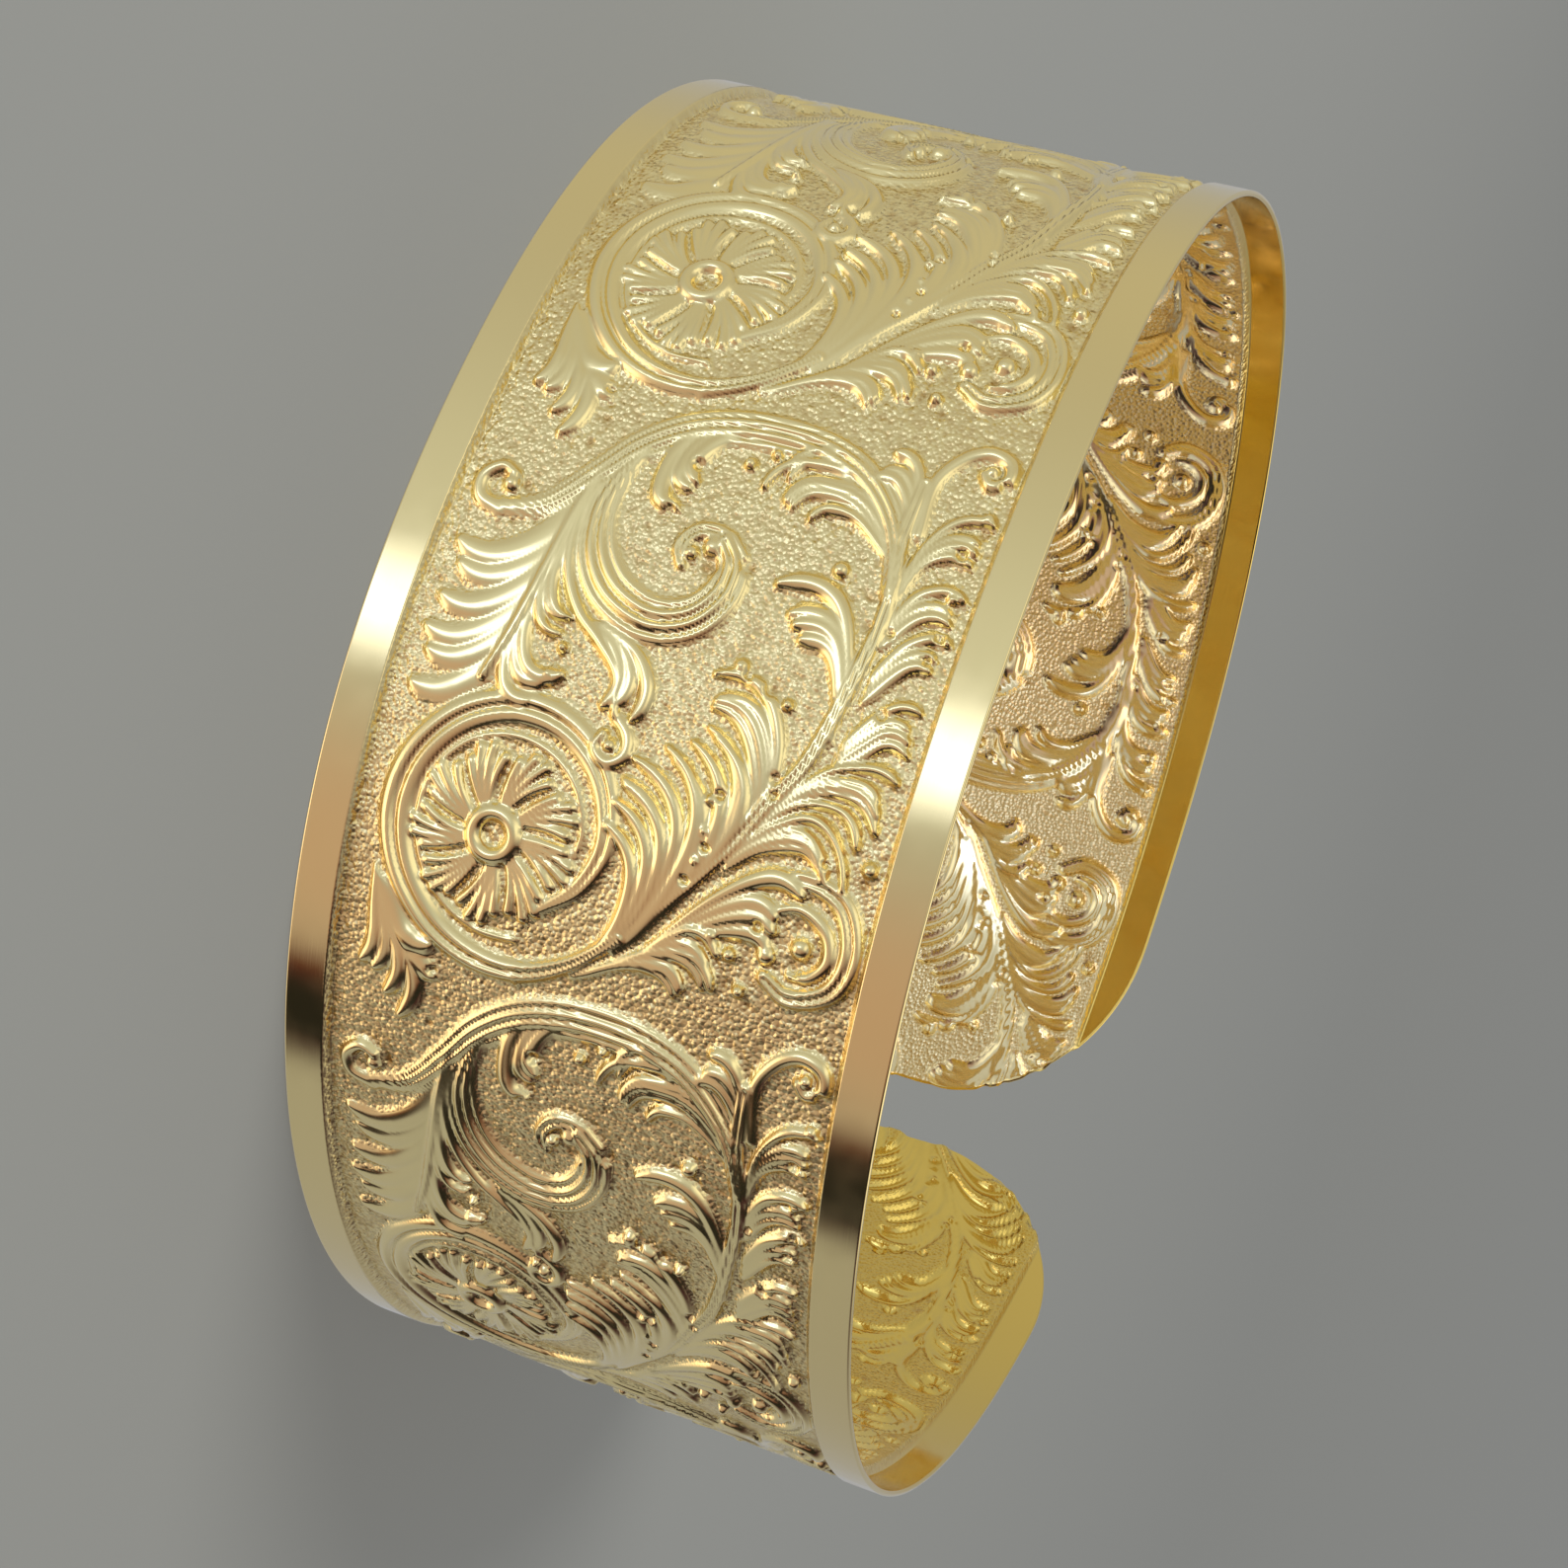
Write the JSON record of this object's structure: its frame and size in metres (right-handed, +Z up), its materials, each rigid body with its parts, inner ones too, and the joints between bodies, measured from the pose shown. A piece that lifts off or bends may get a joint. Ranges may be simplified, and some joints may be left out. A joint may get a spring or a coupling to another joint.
{
  "type": "cuff bracelet",
  "caption": "Wide open cuff bracelet of thin gold-coloured sheet metal, embossed with rosettes, scrolls and leaves between plain raised borders.",
  "frame": {"origin": "middle of the bounding box's underside, on the surface that the cuff lies on", "axes": "+Z up, across the band's width; the front of the cuff faces -Y and its opening is at +Y; +X to the right seen from the front"},
  "size_m": [0.057, 0.0606, 0.024],
  "materials": {
    "gold_tone_metal": "bright gold-coloured metal, polished on the borders and the raised ornament, matted by fine stippling on the ground"
  },
  "bodies": {
    "root": {"cuff_band": "gold_tone_metal"}
  },
  "joints": []
}
